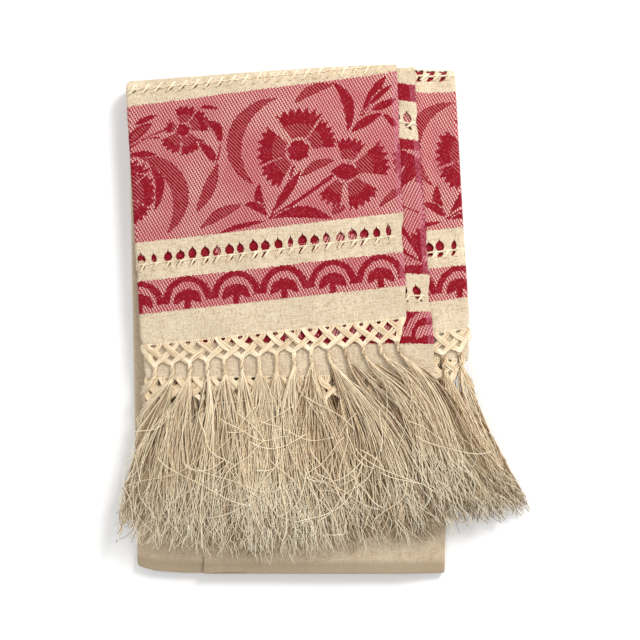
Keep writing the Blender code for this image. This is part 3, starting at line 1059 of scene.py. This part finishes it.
# a half bundle's way: pitches aside, drop below the cloth, width and lift
RIBBON = ((0.22, -0.9, 4.8, 0.0), (0.20, 0.9, 3.7, 0.3), (0.50, 4.2, 3.6, 0.5), (0.75, 6.4, 3.5, 0.5),
          (1.00, 8.6, 3.3, 0.5), (1.36, 11.2, 2.5, 0.4), (1.49, 13.4, 1.6, 0.35), (1.5, 16.0, 1.3, 0.3))
OVER = np.array((0, 0.1, 0.5, 0.0, -0.5, 0.0, 0, 0))    # over one neighbour, under the next


def half_bundle(rng, end, panel, split, way, necks, strands):
    """Paths of the strands of half a bundle, from where it parts at the cloth's edge, past two
    of its neighbours, to a neck a pitch and a half away. At a panel's ends it turns back to
    the last neck."""
    aside, drop, width, lift = np.array(RIBBON).T
    beyond = np.clip(1 - drop / 12, 0, 1)
    furthest = necks[-1] + (0.35 if panel == 3 else 0.8) * beyond
    at = np.clip(split + way * aside, necks[0] - 0.65 * beyond, furthest)
    route = np.stack((end["first_tassel"] + at * TASSEL_PITCH, drop), axis=1)
    route[:-1] += rng.normal(0, 0.25, route[:-1].shape) * (drop[:-1] > 0)[:, None]
    ahead = np.gradient(route, axis=0)
    ahead /= np.linalg.norm(ahead, axis=1, keepdims=True)
    normal = np.stack((ahead[:, 1], -ahead[:, 0]), axis=1) * np.where(ahead[:, 1:] < 0, -1, 1)
    normal[:2] = (1.0, 0.0)
    slot = (np.arange(strands) + 0.5) / strands - 0.5
    control = np.empty((strands, len(route), 3))
    control[..., :2] = route + (slot[:, None] * width)[..., None] * normal
    control[..., :2] += rng.normal(0, 0.09, control[..., :2].shape)
    control[..., 2] = lift + OVER * way + 0.15 * np.cos(math.pi * slot)[:, None]
    control[..., 2] += rng.normal(0, 0.07, (strands, len(lift)))
    place, drop, lift = np.moveaxis(through(control, 18), -1, 0)
    return on_panel(end, panel, place, edge_level(end, panel, place) - drop, lift)


def make_lattice(name, end, panels, strands, seed):
    """The lattice of knotted warps on some panels of one end."""
    rng = np.random.default_rng(seed)
    paths = []
    for panel in panels:
        necks = tassel_numbers(end, panel)
        for split in np.arange(necks[0] - 0.5, necks[-1] + 1):
            for way in (-1, 1):
                paths.append(half_bundle(rng, end, panel, split, way, necks, strands))
    paths = np.concatenate(paths)
    radius = rng.uniform(0.85, 1.1, (len(paths), 1)) * (1.9 / strands)
    return tubes(name, paths, radius, 5, strand=rng.uniform(0.4, 1, len(paths)))

# %% [markdown]
# ## The tassels
#
# Below its knot each tassel is twisted for about a centimetre and then hangs free. A tassel
# could be one brush-shaped solid with a rough finish, but here its strands show one by one
# against the cloth and the floor. So every strand is a tube: it stays with its clump for a
# while, strays a little, and curls at its worn end.

# %% One tassel
# where along a strand its points are: close at the twisted neck and at the curly end
STRAND_STOPS = np.array((0, 0.02, 0.04, 0.06, 0.08, 0.105, 0.14, 0.2, 0.27, 0.35, 0.43, 0.51, 0.58, 0.65,
                         0.71, 0.77, 0.82, 0.87, 0.915, 0.96, 1.0))
NECK_TWIST = 2 * math.pi / 9.0      # turning of the neck for each millimetre
NECK_LENGTH = 14
HALF_TASSEL, HALF_SPREAD = 2.9, 3.4     # half its width below the neck, and what it gains
STRANDS_IN_CLUMP, STRAY_SHARE = 8, 0.09
TIP_LEVELS = (19.0, 14.0, 17.0)     # the tips end unevenly, three by three
TIP_RISE, TIP_RISE_START = 16.0, 60.0   # and higher to the right
LEFT_TIP_RISE = 8.0                 # and at the left edge


def tassel(rng, end, panel, number, strands, bulk, lean, hold):
    """Paths of one tassel's strands. A twisted neck opens into clumps, whose strands wander
    and curl at their ends. lean turns the whole tassel aside at its neck, in radians, and it
    holds for so many millimetres before it hangs straight again."""
    middle = end["first_tassel"] + number * TASSEL_PITCH
    start = edge_level(end, panel, middle) - NECK_DROP
    risen = ease((middle - TIP_RISE_START) / (FOLDED_WIDTH - TIP_RISE_START))
    tip = TIP_LEVELS[number % 3] + TIP_RISE * risen + (LEFT_TIP_RISE if number < 2 else 0.0)
    clumps = max(4, strands // STRANDS_IN_CLUMP)
    mine = rng.integers(0, clumps, strands)

    def one(low, high):
        return rng.uniform(low, high, (strands, 1))

    def shared(spread):
        return rng.normal(0, spread, clumps)[mine][:, None]

    # how each strand heads on its way down: with its tassel, with its clump, on its own, in
    # small waves, astray, and curling at its end
    length = (start - tip) * (1.03 - 0.24 * one(0, 1) ** 2.0 + shared(0.03))
    reach = length * STRAND_STOPS

    def after(begin, run):
        return ease((reach - begin) / run)

    curly = ease((reach / length - 0.62) / 0.38)
    angle = lean * after(2, 10) * (1 - after(hold, 50))
    angle = angle + (shared(0.10) + rng.normal(0, 0.075, (strands, 1))) * after(8, 25)
    angle = angle + 0.10 * one(0, 1) * np.sin(reach / one(7, 14) + one(0, 6)) * after(8, 20)
    stray = one(0, 1) < STRAY_SHARE
    off = rng.normal(0, 0.55, (strands, 1)) * after(15, 30)
    angle = angle + stray * off * np.cos(reach / one(25, 60))
    angle = angle + curly * one(0.05, 0.75) * np.sin(reach / one(2.8, 6.0) + one(0, 6))
    step = np.diff(reach, axis=1, prepend=0)
    aside = np.cumsum(np.sin(angle) * step, axis=1)
    below = np.cumsum(np.cos(angle) * step, axis=1)

    # from a round twisted neck to a flat brush
    around = one(0, 2 * math.pi) + NECK_TWIST * np.minimum(reach, NECK_LENGTH)
    out = np.sqrt(one(0, 1))
    slot = rng.uniform(-0.95, 0.95, clumps)[mine][:, None] + rng.normal(0, 0.2, (strands, 1))
    slot = np.clip(slot, -1.2, 1.2)
    depth = np.clip(shared(0.55) + rng.normal(0, 0.35, (strands, 1)), -1, 1)
    opened = after(6, 11)
    half = HALF_TASSEL + HALF_SPREAD * after(10, 22)
    place = middle + aside + (1 - opened) * 1.2 * out * np.cos(around) + opened * half * slot
    lift = (1 - opened) * (0.5 + 0.9 * out * np.sin(around)) + opened * bulk * (0.45 + 0.6 * depth)
    lift = lift + curly * 0.7 * bulk * np.sin(reach / one(2.5, 4.5) + one(0, 6))
    lift = lift + stray * opened * 0.8 * bulk

    # deep strands are painted darker, as painted shade of the strands above them; stray ones are paler, and
    # so are the tassels at the left
    tone = 0.5 + 0.32 * depth[:, 0] + shared(0.22)[:, 0] + rng.normal(0, 0.24, strands) + 0.45 * stray[:, 0]
    tone = tone + 0.1 - 0.28 * ease((middle - 80) / 60)
    return on_panel(end, panel, place, start - below, lift), tone

# %% A row of tassels
LOWEST = 0.25                       # how near the floor a strand may come
STRAIGHT = (0.0, 18)                # how far a tassel leans at its neck, and for how long


def make_tassels(name, end, panels, strands_of, bulk, tone, seed, leans):
    """The tassels of some panels of one end, as one piece. strands_of gives the number of
    strands of a tassel, bulk its thickness, and leans those that don't hang straight."""
    rng = np.random.default_rng(seed)
    made = [tassel(rng, end, panel, number, strands_of(number), bulk, *leans.get(number, STRAIGHT))
            for panel in panels for number in tassel_numbers(end, panel)]
    paths = np.concatenate([path for path, _ in made])
    tones = np.clip(np.concatenate([own for _, own in made]) + tone, 0, 1)
    paths[..., 2] = np.maximum(paths[..., 2], LOWEST)
    radius = rng.uniform(0.18, 0.36, (len(paths), 1)) * np.linspace(1.0, 0.7, len(STRAND_STOPS))
    return tubes(name, paths, radius, 3, strand=tones)

# %% Every lattice and tassel
# the tassels that lean, by number: radians, and for how many millimetres
TOP_LEANS = {0: (-0.8, 18), 1: (-0.5, 18), 2: (-0.25, 18), 10: (0.5, 32), 11: (0.6, 34), 12: (0.8, 26),
             13: (0.95, 16), 14: (0.8, 16)}
OUTER_LEANS = {0: (-0.6, 18), 1: (-0.6, 18)}
MIDDLE_LEANS = {16: (0.15, 18), 17: (0.15, 18), 18: (0.15, 18)}

lattices = [
    make_lattice("top_lattice_outer", TOP_END, (3,), 5, 21),
    make_lattice("top_lattice_inner", TOP_END, (2, 1), 3, 22),
    make_lattice("under_lattice_outer", UNDER_END, (3, 2), 5, 23),
    make_lattice("under_lattice_inner", UNDER_END, (1,), 3, 24),
]
# each row's tone makes the tassels that lie lower in the stack darker: painted shade
tassels = [
    make_tassels("top_tassels_outer", TOP_END, (3,), lambda number: 70, 1.8, 0.12, 31, TOP_LEANS),
    make_tassels("top_tassels_inner", TOP_END, (2, 1), lambda number: 24, 0.6, -0.3, 32, {}),
    make_tassels("under_tassels_outer", UNDER_END, (3,), lambda number: 50, 0.7, -0.1, 33, OUTER_LEANS),
    make_tassels("under_tassels_middle", UNDER_END, (2,), lambda number: 110 if number > 13 else 40,
                 0.9, 0.05, 34, MIDDLE_LEANS),
    make_tassels("under_tassels_inner", UNDER_END, (1,), lambda number: 24, 0.6, -0.3, 35, {}),
]
print("lattices and tassels:", len(lattices), len(tassels))

# %% [markdown]
# ## The tying threads
#
# A cord runs along each openwork band, over the bare warps, and slanting stitches gather them
# to it. They could be drawn in the cloth's finish, but they stand proud and cast small
# shadows, so they are tubes too, laid just above the cloth.

# %% Cord and stitches
# where a stitch starts and ends, right of and in from where it crosses the tying thread
UPPER_STITCH = (-2.4, -2.8), (2.4, 1.4)
LOWER_STITCH = (-1.9, -4.2), (1.4, 0.5)
TIE_LIFT, TIE_ARCH = 0.5, 0.65      # a stitch's height off the cloth's middle, and its rise
CORD_LIFT, CORD_RADIUS = 0.75, 0.3


def make_ties(name, end, panel, start, stop, seed):
    """The cord along each tying thread, and the slanting stitches that tie the bundles to it."""
    rng = np.random.default_rng(seed)
    t = np.linspace(0, 1, 8)
    paths = []
    for thread in TIED_THREADS:
        foot, head = UPPER_STITCH if thread > FLOWERS[1] else LOWER_STITCH
        for middle in np.arange(start, stop, HOLE_PITCH) + HOLE_PITCH / 2:
            level = thread_at(end, thread, middle)
            cord = middle + (t - 0.5) * (HOLE_PITCH + 0.4)
            wave = 0.2 * np.cos((t - 0.5) * 2 * math.pi)
            paths.append(on_cloth(end, panel, cord, thread_at(end, thread, cord) + wave, CORD_LIFT + wave))
            for side in (-0.55, 0.0, 0.55):
                ends = rng.normal(0, 0.2, 4)
                place = middle + side + (foot[0] + ends[0]) * (1 - t) + (head[0] + ends[1]) * t
                inward = level + (foot[1] + ends[2]) * (1 - t) + (head[1] + ends[3]) * t
                paths.append(on_cloth(end, panel, place, inward, TIE_LIFT + TIE_ARCH * np.sin(math.pi * t)))
    paths = np.array(paths)
    return tubes(name, paths, CORD_RADIUS, 5, strand=rng.uniform(0.45, 1, len(paths)))


ties = [
    make_ties("top_ties", TOP_END, 3, 1.0, 158.0, 41),
    make_ties("under_ties_outer", UNDER_END, 3, 160.0, 172.0, 42),
    make_ties("under_ties_middle", UNDER_END, 2, 178.0, 194.0, 43),
]

# %% [markdown]
# ## Loose threads
#
# In an old fringe some yarns have come away and lie across the tassels in arcs. Hair tools
# could scatter them, but wouldn't follow the folded panels. Each one here is a tube whose
# path turns steadily as it runs.

# %% Loose threads over the fringe
def make_loose_threads(name, end, count, seed):
    """Single yarns that have come away and lie across the tassels in arcs."""
    rng = np.random.default_rng(seed)
    t = np.linspace(0, 1, len(STRAND_STOPS))
    paths = []
    for _ in range(count):
        length, heading, bend = rng.uniform(22, 62), rng.uniform(-1.3, 1.3), rng.uniform(-1.4, 1.4)
        angle = heading + bend * t + 0.25 * np.sin(t * rng.uniform(4, 12))
        place = rng.uniform(12, 160) + np.cumsum(np.sin(angle)) * length / len(t)
        level = rng.uniform(58, 106) - np.cumsum(np.cos(angle)) * length / len(t)
        lift = 2.7 + 0.7 * np.sin(t * rng.uniform(3, 9) + rng.uniform(0, 6))
        paths.append(on_panel(end, 3, place, np.maximum(level, 24), lift))
    paths = np.array(paths)
    radius = rng.uniform(0.2, 0.32, (count, 1)) * np.linspace(1, 0.7, len(t))
    return tubes(name, paths, radius, 4, strand=rng.uniform(0.75, 1, count))


loose = [make_loose_threads("top_loose_threads", TOP_END, 46, 51)]
yarns = lattices + tassels + ties + loose
for piece in yarns:
    print(piece.name, sum(len(face.vertices) - 2 for face in piece.data.polygons), "triangles")

# %% [markdown]
# ## The yarn's finish
#
# Undyed linen yarn is never one colour: some strands are bleached cream and some stay tan,
# and they are paler at their worn ends. Strands deep inside a tassel, and the rows lower in the
# stack, are made darker as painted shade. One finish serves every yarn: each tube carries its
# own value for how pale it is, and its points say how far along it they are.

# %% Yarn
YARN_PALE, YARN_WORN = (0.97, 0.83, 0.60, 1.0), (1.0, 0.92, 0.73, 1.0)
YARN_TAN, YARN_DARK = (0.66, 0.47, 0.27, 1.0), (0.22, 0.13, 0.06, 1.0)


def yarn_finish():
    """Unbleached linen yarn, paler where it is worn at its ends."""
    made = Finish("fringe_yarn", roughness=0.45, sheen=0.05, gloss=0.5)
    strand, run = made.value("strand"), made.value("run")
    # the dark end of the tones is painted shade, for strands deep in a tassel and in the lower rows
    deep = made.blend(made.spread(strand, 0.0, 0.45), YARN_DARK, YARN_TAN)
    colour = made.blend(made.spread(strand, 0.3, 0.85), deep, YARN_PALE)
    worn = made.times(made.spread(run, 0.6, 0.95), made.spread(strand, 0.25, 0.55))
    colour = made.blend(made.times(worn, 0.95), colour, YARN_WORN)
    place = made.place()
    patchy = made.spread(made.noise(place, 45.0, 2.0), 0.42, 0.8, 0.0, 0.35)
    made.put(made.blend(patchy, colour, YARN_TAN), made.shader.inputs["Base Color"])
    made.bump(made.noise(place, 1800.0, 1.0), 0.0001, 0.5)
    return made.material


yarn = yarn_finish()
for piece in yarns:
    piece.data.materials.append(yarn)
print("yarn finish on", len(yarns), "pieces")

# %% [markdown]
# ## Floor, light and camera
#
# The floor is pale, plain paper. A soft light from the upper right, a weaker and wider one
# from the lower left and a white surround keep the red even and let each thread cast a small
# shadow. The camera looks almost straight down, as on a copy stand, and its lens follows from
# its distance and the width it should see.

# %% The room
FLOOR_DROP = 0.0004
PAPER, PAPER_LIGHT = (0.93, 0.93, 0.93, 1), (0.96, 0.96, 0.96, 1)


def make_floor():
    """A sheet of paper for the runner to lie on."""
    bpy.ops.mesh.primitive_plane_add(size=3.0, location=(0, 0, -FLOOR_DROP))
    floor = bpy.context.object
    floor.name = "floor"
    bpy.ops.object.transform_apply(location=True, rotation=True, scale=True)
    made = Finish("floor_paper", roughness=0.9, sheen=0.0, gloss=0.25)
    grain = made.noise(made.place(), 900.0)
    made.put(made.blend(grain, PAPER, PAPER_LIGHT), made.shader.inputs["Base Color"])
    floor.data.materials.append(made.material)


def add_light(name, place, size, power, tint):
    """A square soft light that looks at the middle of the floor."""
    light = bpy.data.lights.new(name, "AREA")
    light.size, light.energy, light.color = size, power, tint
    lamp = bpy.data.objects.new(name, light)
    lamp.location = place
    lamp.rotation_mode = "QUATERNION"
    lamp.rotation_quaternion = (-Vector(place)).to_track_quat("-Z", "Y")
    bpy.context.scene.collection.objects.link(lamp)


make_floor()
add_light("key", (0.55, 0.65, 0.75), 0.35, 9.5, (1.0, 0.98, 0.95))
add_light("fill", (-0.9, -0.6, 1.3), 1.2, 3.0, (0.97, 0.98, 1.0))
world = bpy.data.worlds.new("studio")
world.use_nodes = True
world.node_tree.nodes["Background"].inputs["Color"].default_value = (1.0, 1.0, 1.0, 1.0)
world.node_tree.nodes["Background"].inputs["Strength"].default_value = 0.75
bpy.context.scene.world = world
bpy.context.scene.view_settings.view_transform = "Standard"
print("lights:", [light.name for light in bpy.data.lights])

# %% The camera
VIEW_WIDTH, DISTANCE, TILT = 0.384, 0.62, math.radians(5)
camera = bpy.data.objects.new("camera", bpy.data.cameras.new("camera"))
bpy.context.scene.collection.objects.link(camera)
middle = Vector(in_metres((118.0, 150.0, 8.0)))
back = Vector((0, -math.sin(TILT), math.cos(TILT)))
camera.location = middle + back * DISTANCE
camera.rotation_mode = "QUATERNION"
camera.rotation_quaternion = (-back).to_track_quat("-Z", "Y")
camera.data.lens = camera.data.sensor_width * DISTANCE / VIEW_WIDTH
bpy.context.scene.camera = camera
print("lens:", round(camera.data.lens, 1), "mm")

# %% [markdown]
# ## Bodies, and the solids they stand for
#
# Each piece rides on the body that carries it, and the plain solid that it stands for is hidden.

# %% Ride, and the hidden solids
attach(cloth, "root")
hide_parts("cloth")
for piece in yarns:
    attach(piece, "root")
    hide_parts("fringe_top_end" if piece.name.startswith("top") else "fringe_under_end")
